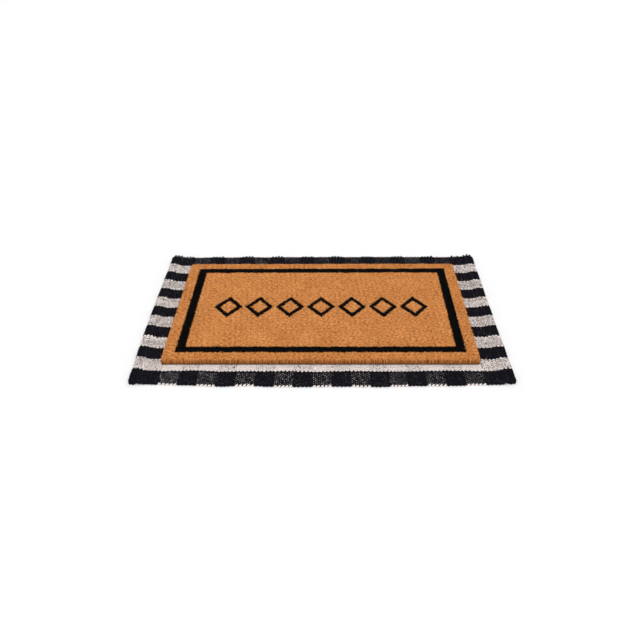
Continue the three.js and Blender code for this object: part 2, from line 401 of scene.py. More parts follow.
PATH_X, PATH_Z, PATH_ALONG, PATH_ANGLE = cloth_path()
CLOTH_REACH = PATH_ALONG[-1]  # half the cloth's length, laid flat
on_top = np.arange(len(PATH_X)) < np.argmax(PATH_X)
STITCH_ALONG = np.interp(STITCH_X, PATH_X[on_top], PATH_ALONG[on_top])
STITCH_UNDER = CLOTH_REACH - (STITCH_X - HEM_CUT)

WAVE_SIZES = [(0.5 * MM, 12)] * 8 + [(0.3 * MM, 40)] * 8  # greatest amplitude, and waves per metre

# Slow waves that pull the stripes off straight: amplitude, waves per metre along X and Y, phase.
WAVES = [
    (
        size * RANDOM.uniform(0.5, 1),
        RANDOM.uniform(0.4, 1) * most,
        RANDOM.uniform(-0.7, 0.7) * most,
        RANDOM.uniform(0, 2 * math.pi),
    )
    for size, most in WAVE_SIZES
]
X_WAVES = 3  # one wave in so many moves the cloth along X, and the others along Y
X_WAVE_SHARE = 0.6


def bow(x, across):
    """How far the cloth is drawn out of straight along Y near the front and back edges."""
    near_edge = smooth_step((np.abs(across) - CLOTH_HALF_DEPTH + BOW_REACH) / BOW_REACH)
    share = (x / RUG_HALF_WIDTH) ** 2
    front = FRONT_BOW[1] * share - FRONT_BOW[0]
    back = BACK_BOW[0] - BACK_BOW[1] * share
    return near_edge * np.where(across < 0, front, back)


def drift(x, y):
    """How far the cloth is out of true along X towards its front edge."""
    share = x / RUG_HALF_WIDTH
    near_front = smooth_step((DRIFT_REACH - CLOTH_HALF_DEPTH - y) / DRIFT_REACH)
    past_turn = smooth_step((share - DRIFT_TURN[0]) / (DRIFT_TURN[1] - DRIFT_TURN[0]))
    return near_front * blend_between(FRONT_DRIFT[0], FRONT_DRIFT[1] * share**4, past_turn)


def lay(points):
    """Cloth coordinates (along the warp, across it, height over its middle) to the object's frame."""
    along, across, height = points.T
    far, side = np.abs(along), np.where(along < 0, -1, 1)
    for stitch in (STITCH_ALONG, STITCH_UNDER):
        height = height * (1 - STITCH_PINCH * np.exp(-(((far - stitch) / STITCH_SPREAD) ** 2)))
    near_edge = smooth_step((np.abs(across) - CLOTH_HALF_DEPTH + CORNER_REACH) / CORNER_REACH)
    press = np.maximum(np.where(side < 0, HEM_PRESS[0], HEM_PRESS[1]), HEM_PRESS[2] * near_edge)
    angle = np.interp(far, PATH_ALONG, PATH_ANGLE)
    x = np.interp(far, PATH_ALONG, PATH_X) - np.sin(angle) * height
    rise = (np.interp(far, PATH_ALONG, PATH_Z) - CLOTH / 2) * (1 - press)
    z = np.maximum(CLOTH / 2 + rise + np.cos(angle) * height, 0)
    into_corner = np.clip((x - RUG_HALF_WIDTH + CORNER_RADIUS) / CORNER_RADIUS, 0, 1)
    pull = CORNER_RADIUS * (1 - np.sqrt(1 - into_corner**2))
    y = across - np.sign(across) * pull * near_edge + bow(x, across)
    x = x * side
    x = x + drift(x, y)
    shift_x, shift_y = np.zeros_like(x), np.zeros_like(y)
    for number, (amplitude, waves_x, waves_y, phase) in enumerate(WAVES):
        swing = amplitude * np.sin(2 * math.pi * (waves_x * x + waves_y * y) + phase)
        if number % X_WAVES:
            shift_y += swing
        else:
            shift_x += swing * X_WAVE_SHARE
    return np.stack([x + shift_x, y + shift_y, z], axis=1)


def add_tubes(soup, centres, across, up, half_width, half_height, shades, tile_rings):
    """Adds closed tubes. centres, across and up are (tube, ring, 3) in cloth coordinates, the half
    sizes are (tube, ring), shades is (tube, stretch), and tile_rings is how many rings one tile of
    the palette covers."""
    tubes, rings = half_width.shape
    angle = 2 * math.pi * np.arange(YARN_SIDES) / YARN_SIDES
    ring = (
        centres[:, :, None]
        + (half_width[..., None] * np.cos(angle))[..., None] * across[:, :, None]
        + (half_height[..., None] * np.sin(angle))[..., None] * up[:, :, None]
    )
    number = np.arange(tubes * rings * YARN_SIDES).reshape(tubes, rings, YARN_SIDES)
    onward = np.roll(number, -1, axis=2)
    walls = np.stack([number[:, :-1], onward[:, :-1], onward[:, 1:], number[:, 1:]], axis=-1)
    left = (shades[:, :, None] + np.arange(YARN_SIDES) / YARN_SIDES) / YARN_SHADES
    low = (np.arange(rings - 1) % tile_rings / tile_rings)[None, :, None]
    left, low = np.broadcast_arrays(left, low)
    right, high = left + 1 / (YARN_SHADES * YARN_SIDES), low + 1 / tile_rings
    maps = np.stack([
        np.stack([left, low], -1),
        np.stack([right, low], -1),
        np.stack([right, high], -1),
        np.stack([left, high], -1),
    ], axis=-2)
    end_place = np.stack([(shades[:, 0] + 0.5) / YARN_SHADES, np.full(tubes, 0.5)], axis=-1)
    end_maps = np.repeat(end_place[:, None], YARN_SIDES, axis=1)
    soup.add(
        lay(ring.reshape(-1, 3)),
        (walls.reshape(-1, 4), maps.reshape(-1, 4, 2)),
        (number[:, 0, ::-1], end_maps),
        (number[:, -1], end_maps),
    )


def wander(rows, rings, spacing, amount):
    """A smooth random value along each row: one new draw every so many rings."""
    knots = RANDOM.normal(0, amount, (rows, rings // spacing + 2))
    places = np.arange(rings) / spacing
    return np.stack([np.interp(places, np.arange(knots.shape[1]), row) for row in knots])


PLAIN_TONE = (0.5, 0.2)  # mean shade, 0 to 1, and how much it varies
CREAM_TONE = (0.85, 0.07)  # of cream yarn over cream weft
DULLED_TONE = (0.63, 0.24)  # over black weft, which shows through it in places
FRONT_PAINTED_LIGHT_TONE = (0.8, 0.15)  # the same in the front cream stripe, between the hems, lighter: painted light over the shade of the mat beside it
BETWEEN_PAINTED_SHADE_TONE = (0.55, 0.4)  # of the cream weft, where it is seen between the warp yarns: darker, as painted shade, and varying at random
TURN_PAINTED_LIGHT_TONE = (0.95, 0.03)  # of the cream weft where it turns at the rug's edges: lighter, as painted light


def shade_walk(rows, rings, spacing, tone, spread):
    """A shade for each stretch of yarn between rings: a change for each yarn, and one every so many
    stretches. tone and spread are one number for all, or one for each stretch."""
    change = RANDOM.normal(0, 0.5, (rows, 1)) + RANDOM.normal(0, 1, (rows, rings // spacing + 2))
    shades = tone + spread * np.repeat(change, spacing, axis=1)[:, : rings - 1]
    return np.floor(np.clip(shades, 0, 0.999) * YARN_SHADES).astype(int)


def weft_is_black(along):
    """Whether the weft column that a place along the warp lies in is black."""
    column = np.floor(along / COLUMN_PITCH + 0.5) + MIDDLE_COLUMN
    return np.clip(column, 0, len(COLUMN_NODES) - 1) % 2 == 0


def warp_tone(node, along):
    """The mean shade of a stripe at each place along it, and how much it varies there, with painted
    light on the front cream stripe between the hems.
    """
    if node.endswith("black"):
        return PLAIN_TONE
    black_weft = weft_is_black(along)
    # painted light: the front cream stripe next to the mat is made lighter
    painted_light_front = (node == STRIPE_NODES[1]) & (np.abs(along) < HEM_COLUMN)
    over_black = [np.where(painted_light_front, *pair) for pair in zip(FRONT_PAINTED_LIGHT_TONE, DULLED_TONE)]
    return [np.where(black_weft, *pair) for pair in zip(over_black, CREAM_TONE)]


def cotton_slot(node):
    """The slot of a stripe's or column's yarn, which its node's name ends with."""
    return "cotton_cream" if node.endswith("cream") else "cotton_black"


def warp_stripe(node, first_end, count):
    """Warp yarns side by side, each rising over one pick and diving under the next."""
    step = PICK_PITCH / RINGS_PER_PICK
    half = int((CLOTH_REACH - step / 2) / step)
    along = (np.arange(-half, half) + 0.5) * step
    ends = first_end + np.arange(count)
    sign = np.where(ends % 2, 1, -1)[:, None]
    phase = math.pi * along / PICK_PITCH + wander(count, len(along), RINGS_PER_PICK, PHASE_JITTER)
    swing = sign * np.sin(phase)
    slope = sign * np.cos(phase) * WARP_SWING * math.pi / PICK_PITCH
    crown = np.abs(swing) ** 3
    loose = 1 + wander(count, len(along), RINGS_PER_PICK, WIDTH_JITTER)
    at_edge = (ends == 0) | (ends == END_COUNT - 1)
    thick = np.where(at_edge, EDGE_YARN, 1)[:, None]
    at_seam = ((ends == first_end) | (ends == first_end + count - 1)) & ~at_edge
    broad = np.where(at_seam, SEAM_YARN, 1)[:, None]
    across = -CLOTH_HALF_DEPTH + (ends[:, None] + 0.5) * END_PITCH
    across = across + wander(count, len(along), PLACE_RINGS, PLACE_JITTER)
    height = swing * WARP_SWING * (1 + wander(count, len(along), RINGS_PER_PICK, HEIGHT_JITTER))
    centres = np.stack([np.broadcast_to(along, swing.shape), across, height], axis=-1)
    sideways = np.zeros_like(centres)
    sideways[..., 1] = 1
    tilt = np.arctan(slope)
    up = np.stack([-np.sin(tilt), np.zeros_like(tilt), np.cos(tilt)], axis=-1)
    soup = Soup()
    add_tubes(
        soup,
        centres,
        sideways,
        up,
        blend_between(*WARP_WIDTH, crown) * loose * broad,
        blend_between(*WARP_HEIGHT, crown) * loose * thick,
        shade_walk(count, len(along), SHADE_RINGS, *warp_tone(node, along[:-1])),
        WARP_TILE,
    )
    slot = cotton_slot(node)
    stripe = soup.piece(node.replace("warp_stripe", "stripe"), MATERIALS[slot], True)
    finish_piece(stripe, "rug", slot, node)


TURN_REACH = 1.9 * MM  # of the weft's middle round the middle of the outermost warp yarn
TURN_OVER = 0.7 * MM  # height of its middle over that yarn's, and depth under it
TURN_UNDER = 0.6 * MM
FRONT_SLACK = (0, 0.8 * MM)  # how far short the turns are of being pulled tight
BACK_SLACK = (0.2 * MM, 2.6 * MM)
TURN_STEPS = 8
TURN_LEAD = 1.5  # how many warp yarns in from the outermost one the weft starts to rise or sink
WEFT_STEP = 7 * MM


def weft_route(first_pick, last_pick):
    """One yarn's way to and fro through a column, and how far into a turn each point is, 0 to 1.
    It comes to each edge under the outermost warp yarn, and goes back over it."""
    edge = CLOTH_HALF_DEPTH - END_PITCH / 2
    inner = edge - TURN_LEAD * END_PITCH
    outer = edge - END_PITCH * np.array([1, 0.5, 0])
    straight = np.linspace(-inner, inner, round(2 * inner / WEFT_STEP) + 1)
    straight = np.concatenate([-outer[::-1], straight, outer])
    near_edge = smooth_step((np.abs(straight) - inner) / (edge - inner))
    turn = np.linspace(0, math.pi, TURN_STEPS + 1)[1:-1]
    route, turning = [], []
    for pick in range(first_pick, last_pick + 1):
        to_front = pick % 2 == 1
        way = straight[::-1] if to_front else straight
        leads = near_edge * np.where((way < 0) == to_front, -TURN_UNDER, TURN_OVER)
        at = np.full(len(way), (pick + 0.5) * PICK_PITCH)
        route.append(np.stack([at, way, leads], axis=-1))
        turning.append(0.5 * near_edge)
        if pick < last_pick:
            slack = RANDOM.uniform(*(FRONT_SLACK if to_front else BACK_SLACK))
            reach = way[-1] + np.sign(way[-1]) * (TURN_REACH + slack) * np.sin(turn)
            at = (pick + 0.5 + smooth_step(turn / math.pi)) * PICK_PITCH
            rise = (TURN_UNDER + TURN_OVER) * (1 - np.cos(turn)) / 2 + slack * np.sin(turn)
            route.append(np.stack([at, reach, rise - TURN_UNDER], axis=-1))
            turning.append(0.5 + 0.5 * np.sin(turn))
    return np.concatenate(route), np.concatenate(turning)


def carried_frames(route):
    """Two directions across a route at each point, carried along it without any twist."""
    course = np.gradient(route, axis=0)
    course /= np.linalg.norm(course, axis=1)[:, None]
    beside = np.empty_like(route)
    beside[0] = (1, 0, 0)
    for ring in range(1, len(route)):
        kept = beside[ring - 1] - course[ring] * (beside[ring - 1] @ course[ring])
        beside[ring] = kept / np.linalg.norm(kept)
    return beside, np.cross(course, beside)


def weft_column(node, first_pick, last_pick):
    """Every pick of one colour in a column, as the one yarn that it is."""
    slot = cotton_slot(node)
    cream = slot == "cotton_cream"
    route, turning = weft_route(first_pick, last_pick)
    beside, above = carried_frames(route)
    radius = blend_between(*(CREAM_WEFT_RADIUS if cream else BLACK_WEFT_RADIUS), turning)
    radius *= np.clip(1 + (1 - turning) * RANDOM.normal(0, WEFT_JITTER, len(route)), *WEFT_LIMITS)
    if cream:
        radius *= 1 - BACK_THINNING * smooth_step(route[:, 1] / CLOTH_HALF_DEPTH)
        # painted shade on the weft between the warp yarns, and painted light on its turns
        tone = [blend_between(*pair, turning[:-1]) for pair in zip(BETWEEN_PAINTED_SHADE_TONE, TURN_PAINTED_LIGHT_TONE)]
    else:
        tone = PLAIN_TONE
    soup = Soup()
    add_tubes(
        soup,
        route[None],
        beside[None],
        above[None],
        radius[None],
        radius[None],
        shade_walk(1, len(route), 1, *tone),
        WEFT_TILE,
    )
    column = soup.piece(node.replace("weft_column", "column"), MATERIALS[slot], True)
    finish_piece(column, "rug", slot, node)


STITCH_LENGTH = 6 * MM
STITCH_LOW = 0.1 * MM  # height of the thread over the cloth's middle where it goes in, and at its top
STITCH_HIGH = 1.8 * MM
STITCH_RINGS = 6
STITCH_MARGIN = 4 * MM  # from the ends of the line of stitches to the cloth's edges
STITCH_JITTER = 0.25 * MM
THREAD_RADIUS = 0.35 * MM


def hem_thread(node, side):
    """The lock stitch along a hem: one thread seen on top of the cloth, and one underneath."""
    reach = CLOTH_HALF_DEPTH - STITCH_MARGIN
    across = np.linspace(-reach, reach, round(2 * reach / (STITCH_LENGTH / STITCH_RINGS)) + 1)
    lift = np.abs(np.sin(math.pi * across / STITCH_LENGTH)) ** 0.5
    height = blend_between(STITCH_LOW, STITCH_HIGH, lift)
    astray = wander(1, len(across), 2 * STITCH_RINGS, STITCH_JITTER)[0]
    radius = np.full((1, len(across)), THREAD_RADIUS)
    soup = Soup()
    for along in (STITCH_ALONG, STITCH_UNDER):
        route = np.stack([side * (along + astray), across, height], axis=-1)[None]
        sideways, up = np.zeros_like(route), np.zeros_like(route)
        sideways[..., 0] = -1
        up[..., 2] = 1
        shades = shade_walk(1, len(across), STITCH_RINGS, *PLAIN_TONE)
        add_tubes(soup, route, sideways, up, radius, radius, shades, STITCH_RINGS)
    thread = soup.piece(node.replace("thread", "stitches"), MATERIALS["sewing_thread"], True)
    finish_piece(thread, "rug", "sewing_thread", node)


def rug():
    """Every warp stripe from the front to the back, every weft column, and the hems' stitches."""
    first_end = 0
    for node in STRIPE_NODES:
        count = EDGE_ENDS if node in (STRIPE_NODES[0], STRIPE_NODES[-1]) else ENDS
        warp_stripe(node, first_end, count)
        first_end += count
    last = int(CLOTH_REACH / PICK_PITCH - 0.5) - 1  # pick inside the hem
    for number, node in enumerate(COLUMN_NODES):
        first_pick = (number - MIDDLE_COLUMN) * PICKS - PICKS // 2
        last_pick = first_pick + PICKS - 1
        if number == 0:
            first_pick = -last - 1
        if number == len(COLUMN_NODES) - 1:
            last_pick = last
        weft_column(node, first_pick, last_pick)
    hem_thread("left_hem_thread", -1)
    hem_thread("right_hem_thread", 1)


# ---------------------------------------------------------------- the coir mat


border_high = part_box("coir_border")[1]
frame_low, frame_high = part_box("coir_frame_black")
field_low, field_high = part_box("coir_field")
backing_low, backing_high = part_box("vinyl_backing")
RING_NODES = sorted(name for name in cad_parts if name.startswith("lozenge_black"))
CENTRE_NODES = sorted(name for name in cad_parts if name.startswith("lozenge_centre"))
ZONES = ["coir_border", "coir_frame_black", "coir_field", *RING_NODES, *CENTRE_NODES]

PILE_TOP = border_high.z
PILE_FLOOR = backing_high.z
MAT_HALF = (border_high.x, border_high.y)
FRONT_CORNER = 2 * MM  # the mat's corner radii, cut square at the front and worn round at the back
BACK_CORNER = 7 * MM
FIBRE_SPACING = 1.35 * MM
FIBRE_LENGTH = 3.2 * MM  # of its cut end, which lies over at a slant
FIBRE_BREADTH = 1.0 * MM
FIBRE_DEPTH = 8 * MM
LENGTH_SHARES = (0.6, 1.3)  # least and greatest share of each of these that a fibre has
BREADTH_SHARES = (0.7, 1.3)
DEPTH_SHARES = (0.8, 1.1)
FIBRE_TILT = (0.3, 0.22)  # slope of the cut ends: their mean, and how much it varies
FIBRE_LEAN = 1.6 * MM  # how far to the side of its cut end a fibre's root may lie
FIBRE_TONE = (0.5, 0.17)  # mean shade of the fibres, 0 to 1, and how much it varies
CLUMPS = ((0.08, 5 * MM, 2), (0.02, 45 * MM, 3))  # patches of shade: strength, size and seed
EDGE_DULLING = 0.07  # how much darker the pile's shades are at the mat's edge
EDGE_DULLED = 60 * MM  # how far in that fades out
PILE_INSET = 0.9 * MM  # how far inside the mat's outline the outermost cut ends are
PRINT_SPILL = 0.45 * MM  # how raggedly the print's colours meet
PILE_DROP = 0.5 * MM  # how far under the pile's top the cut ends are, and how unevenly
PILE_JITTER = 0.35 * MM
PILE_SWELL = (0.35 * MM, 22 * MM, 1)  # slow swells of the surface: height, size and seed
EDGE_ROUNDING = (1.4 * MM, 4 * MM)  # how far the surface falls at the mat's edge, and from how far in
BED_DEPTH = 3.2 * MM  # from the pile's top to the packed fibres that nothing shows through
BED_INSET = 1.6 * MM
BED_PLACE = (0.5 / FIBRE_SHADES, 0.3)  # on the palette: its darkest shade, low on the fibre, dark with the painted shade of the pile's depth

STRAY_SHARE = 0.12  # of the fibres have a loose one lying over their cut ends
STRAY_LIFT = 0.5 * MM
STRAY_TILT = (0.1, 0.15)
STRAY_CONTRAST = 0.3
STRAY_LENGTH = (5 * MM, 9 * MM)
STRAY_BREADTH = 0.5 * MM
STRAY_DEPTH = 1.2 * MM
FIELD_BLOCKS = 4  # pieces that the field's pile is made in, so that none is too large to export
NOISE_WAVES = 14
NOISE_SIZES = (1.4, 3)  # least and greatest length of its waves, over the size of its features


def distance_inside(x, y):
    """How far inside the mat's rounded outline a point is."""
    radius = np.where(y < 0, FRONT_CORNER, BACK_CORNER)
    dx = np.abs(x) - (MAT_HALF[0] - radius)
    dy = np.abs(y) - (MAT_HALF[1] - radius)
    outside = np.hypot(np.maximum(dx, 0), np.maximum(dy, 0))
    return radius - outside - np.minimum(np.maximum(dx, dy), 0)


def soft_noise(x, y, size, seed):
    """A smooth random field of about unit height, with features of about the given size."""
    draw = np.random.default_rng(seed)
    total = np.zeros_like(x)
    for _ in range(NOISE_WAVES):
        angle, phase = draw.uniform(0, 2 * math.pi, 2)
        wave = 2 * math.pi / (size * draw.uniform(*NOISE_SIZES))
        total += np.sin(wave * (x * math.cos(angle) + y * math.sin(angle)) + phase)
    return total / math.sqrt(NOISE_WAVES / 2)


def in_box(x, y, low, high):
    """Whether points are in a rectangle with the given corners."""
    return (x > low.x) & (x < high.x) & (y > low.y) & (y < high.y)


def in_lozenge(x, y, low, high):
    """Whether points are in a lozenge that fills the same rectangle."""
    centre, half = (low + high) / 2, (high - low) / 2
    return np.abs(x - centre.x) / half.x + np.abs(y - centre.y) / half.y < 1


def zone_of(x, y):
    """Which pile zone each point is in, as the number of its node in ZONES."""
    zone = np.full(len(x), ZONES.index("coir_border"))
    zone[in_box(x, y, frame_low, frame_high)] = ZONES.index("coir_frame_black")
    zone[in_box(x, y, field_low, field_high)] = ZONES.index("coir_field")
    for node in RING_NODES + CENTRE_NODES:
        zone[in_lozenge(x, y, *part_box(node))] = ZONES.index(node)
    return zone


# Heights on the palette. A cut fibre has them at the nose and the sides of its cut end, and at the top
# and the foot of its walls, and a side fibre at its foot, its bend, its head and its end. The lower the
# height, the more painted shade of the pile's depth a face takes.
CUT_NOSE, CUT_SIDES, WALL_TOP, WALL_FOOT = 0.98, 0.84, 0.76, 0.02
SIDE_LEVELS = (0.12, 0.55, 0.81)
SIDE_END = 0.9
SIDE_TAPER = (1, 0.95, 0.6)  # breadth of a side fibre at its foot, bend and head, as a share
COLUMN_MARGIN = 0.1  # share of a column of the palette left free at each side


def palette_column(shades):
    """The left and right edge of each fibre's column on the palette."""
    column = np.floor(np.clip(shades, 0, 0.999) * FIBRE_SHADES)
    return (column + COLUMN_MARGIN) / FIBRE_SHADES, (column + 1 - COLUMN_MARGIN) / FIBRE_SHADES


def palette_places(*places):
    """Palette places for one face of each fibre, from an across and a height for each corner."""
    return np.stack([
        np.stack([across, np.full(len(across), height)], axis=-1)
        for across, height in places
    ], axis=1)


def add_cut_fibres(soup, tip, azimuth, tilt, lean, shades, length, breadth, depth):
    """Fibres with their cut ends at the pile's surface, each a long wedge down to its root."""
    count = len(tip)
    along = np.stack([np.cos(azimuth), np.sin(azimuth), np.zeros(count)], axis=-1)
    beside = np.stack([-np.sin(azimuth), np.cos(azimuth), np.zeros(count)], axis=-1)
    up = np.array([0, 0, 1.0])
    nose = tip + along * (length / 2)[:, None] - up * (tilt * length / 2)[:, None]
    heel = tip - along * (length / 2)[:, None] + up * (tilt * length / 2)[:, None]
    left = heel + beside * (breadth / 2)[:, None]
    right = heel - beside * (breadth / 2)[:, None]
    root = tip + lean - up * depth[:, None]
    points = np.stack([nose, left, right, root], axis=1).reshape(-1, 3)
    first = 4 * np.arange(count)[:, None]
    cap = first + np.array([[0, 1, 2]])
    walls = (first[:, :, None] + np.array([[[1, 0, 3], [2, 1, 3], [0, 2, 3]]])).reshape(-1, 3)
    west, east = palette_column(shades)
    middle = (west + east) / 2
    cap_map = palette_places((middle, CUT_NOSE), (west, CUT_SIDES), (east, CUT_SIDES))
    wall_map = palette_places((west, WALL_TOP), (east, WALL_TOP), (middle, WALL_FOOT))
    soup.add(points, (cap, cap_map), (walls, np.repeat(wall_map, 3, axis=0)))


def add_side_fibres(soup, foot, bend, head, breadth, shades):
    """Upright fibres seen over their full height, each a three-sided prism with one bend."""
    count = len(foot)
    turn = RANDOM.uniform(0, 2 * math.pi, (count, 1)) + 2 * math.pi / 3 * np.arange(3)
    around = np.stack([np.cos(turn), np.sin(turn), np.zeros_like(turn)], axis=-1)
    spread = around * (breadth / 2)[:, None, None]
    rings = [
        place[:, None] + share * spread
        for place, share in zip((foot, bend, head), SIDE_TAPER)
    ]
    points = np.concatenate(rings, axis=1).reshape(-1, 3)
    first = points.shape[0] // count * np.arange(count)[:, None, None]
    side = np.array([[0, 1, 4, 3], [1, 2, 5, 4], [2, 0, 3, 5]])
    walls = (first + np.concatenate([side, side + 3])).reshape(-1, 4)
    caps = (first[:, 0] + np.array([[6, 7, 8]])).reshape(-1, 3)
    west, east = palette_column(shades)
    wall_maps = [
        palette_places((west, low), (east, low), (east, high), (west, high))
        for low, high in zip(SIDE_LEVELS[:-1], SIDE_LEVELS[1:])
        for _ in range(3)
    ]
    cap_map = palette_places(*[((west + east) / 2, SIDE_END)] * 3)
    soup.add(points, (walls, np.stack(wall_maps, axis=1).reshape(-1, 4, 2)), (caps, cap_map))


def add_bed(soup, node):
    """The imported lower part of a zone's pile: its CAD solid, lower and a little inside the edge."""
    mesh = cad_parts[node].data
    points = np.array([vertex.co for vertex in mesh.vertices])
    points[:, 2] = np.where(points[:, 2] > PILE_TOP - BED_DEPTH, PILE_TOP - BED_DEPTH, PILE_FLOOR)
    points[:, :2] *= 1 - BED_INSET / np.array(MAT_HALF)
    faces = np.array([tuple(polygon.vertices) for polygon in mesh.polygons])
    soup.add(points, (faces, np.full((len(faces), 3, 2), BED_PLACE)))


def fibre_places():
    """Places for the cut ends on a jittered grid, how far each is from the mat's outline, and which
    zone it takes its colour from."""
    columns = round(2 * MAT_HALF[0] / FIBRE_SPACING)
    rows = round(2 * MAT_HALF[1] / FIBRE_SPACING)
    x, y = np.meshgrid(
        np.linspace(-MAT_HALF[0], MAT_HALF[0], columns),
        np.linspace(-MAT_HALF[1], MAT_HALF[1], rows),
    )
    x = x.ravel() + RANDOM.uniform(-0.5, 0.5, x.size) * FIBRE_SPACING
    y = y.ravel() + RANDOM.uniform(-0.5, 0.5, y.size) * FIBRE_SPACING
    inside = distance_inside(x, y)
    kept = inside > PILE_INSET
    x, y, inside = x[kept], y[kept], inside[kept]
    zone = zone_of(x + RANDOM.normal(0, PRINT_SPILL, len(x)), y + RANDOM.normal(0, PRINT_SPILL, len(y)))
    return x, y, inside, zone


def draw_fibres(x, y, inside):
    """The fibres at those places, as add_cut_fibres takes them."""
    count = len(x)
    swell, size, seed = PILE_SWELL
    fall, fall_reach = EDGE_ROUNDING
    rounding = fall * np.clip(1 - inside / fall_reach, 0, 1) ** 2
    level = PILE_TOP - PILE_DROP + swell * soft_noise(x, y, size, seed) - rounding
    clump = sum(strength * soft_noise(x, y, size, seed) for strength, size, seed in CLUMPS)
    # darker towards the mat's edge
    edge_darkening = EDGE_DULLING * np.clip(1 - inside / EDGE_DULLED, 0, 1)
    return {
        "tip": np.stack([x, y, level + RANDOM.normal(0, PILE_JITTER, count)], axis=-1),
        "azimuth": RANDOM.uniform(0, 2 * math.pi, count),
        "tilt": RANDOM.normal(*FIBRE_TILT, count),
        "lean": RANDOM.normal(0, FIBRE_LEAN, (count, 3)) * np.array([1, 1, 0]),
        "shades": FIBRE_TONE[0] + RANDOM.normal(0, FIBRE_TONE[1], count) + clump - edge_darkening,
        "length": FIBRE_LENGTH * RANDOM.uniform(*LENGTH_SHARES, count),
        "breadth": FIBRE_BREADTH * RANDOM.uniform(*BREADTH_SHARES, count),
        "depth": FIBRE_DEPTH * RANDOM.uniform(*DEPTH_SHARES, count),
    }


def add_strays(soup, tip, shades):
    """Loose fibres that lie over the cut ends, each lighter or darker than the one under it."""
    count = len(tip)
    add_cut_fibres(
        soup,
        tip + np.array([0, 0, STRAY_LIFT]),
        RANDOM.uniform(0, 2 * math.pi, count),
        RANDOM.normal(*STRAY_TILT, count),
        np.zeros((count, 3)),
        np.clip(shades + RANDOM.choice([-STRAY_CONTRAST, STRAY_CONTRAST], count), 0, 1),
        RANDOM.uniform(*STRAY_LENGTH, count),
        np.full(count, STRAY_BREADTH),
        np.full(count, STRAY_DEPTH),
    )


def pile():
    """The top of the pile, zone by zone, in black where its node is black."""
    x, y, inside, zone = fibre_places()
    fibres = draw_fibres(x, y, inside)
    stray = RANDOM.random(len(x)) < STRAY_SHARE
    for number, node in enumerate(ZONES):
        slot = "coir_black" if "black" in node else "coir_natural"
        blocks = FIELD_BLOCKS if node == "coir_field" else 1
        block = np.clip((x / field_high.x + 1) / 2 * blocks, 0, blocks - 1).astype(int)
        for part in range(blocks):
            picked = (zone == number) & (block == part)
            odd = picked & stray
            soup = Soup()
            if part == 0:
                add_bed(soup, node)
            add_cut_fibres(soup, **{key: values[picked] for key, values in fibres.items()})
            add_strays(soup, fibres["tip"][odd], fibres["shades"][odd])
            name = "pile_" + node.replace("coir_", "")
            if blocks > 1:
                name += f"_{part + 1:02d}"
            finish_piece(soup.piece(name, MATERIALS[slot], False), "coir_mat", slot, node)


SIDE_SPACING = 0.6 * MM
SIDE_ROWS = 3
SIDE_INSET = (0.5, 0.7)  # of the first row from the outline, and from row to row, in millimetres
SIDE_JITTER = 0.25 * MM
SIDE_CLUMP = (2.5 * MM, 4)  # size and seed of the clumps that the side's fibres stand in
CLUMP_HOLLOW = 0.7 * MM  # how far in the fibres stand between clumps
# painted shade on the fibres in the hollows between clumps, and lighter colour on the clumps
CLUMP_PAINTED_SHADE = 0.12
SIDE_TOP = (0.3, 2.2)  # least and greatest depth of the heads under the pile's top, in millimetres
SIDE_BEND = (0.35, 0.65)  # share of its height at which a fibre bends
SIDE_SPLAY = (0.1 * MM, 0.35 * MM)  # how far the heads lean out: mean, and how much it varies
SIDE_LEAN = 0.7 * MM
SIDE_CURVE = 0.35 * MM  # how far the bends are off the line from foot to head
BEND_SPLAY = 0.6  # share of a head's splay, and of its lean, that is there at the bend
BEND_LEAN = 0.5
SIDE_SPREAD = 0.2  # of the fibres' shades
SIDE_BREADTH = (0.45, 0.95)  # in millimetres
ROOT_DEPTH = 0.2 * MM  # of the side's fibres in the backing


def outline(inset, spacing):
    """Points along the mat's rounded outline, and the outward direction at each."""
    corners = [(1, -1, FRONT_CORNER), (1, 1, BACK_CORNER), (-1, 1, BACK_CORNER), (-1, -1, FRONT_CORNER)]
    centres = [
        np.array([side_x * (MAT_HALF[0] - radius), side_y * (MAT_HALF[1] - radius)])
        for side_x, side_y, radius in corners
    ]
    points, outward = [], []
    for number, (_, _, radius) in enumerate(corners):
        start = number * math.pi / 2
        turn = np.arange(start - math.pi / 2, start, spacing / radius)
        way = np.stack([np.cos(turn), np.sin(turn)], axis=-1)
        points.append(centres[number] + (radius - inset) * way)
        outward.append(way)
        facing = np.array([round(math.cos(start)), round(math.sin(start))])
        beside = np.array([-facing[1], facing[0]])
        run = abs(beside @ (centres[(number + 1) % 4] - centres[number]))
        steps = np.arange(0, run, spacing)[:, None]
        points.append(centres[number] + (radius - inset) * facing + beside * steps)
        outward.append(np.broadcast_to(facing, (len(steps), 2)))
    return np.concatenate(points), np.concatenate(outward)


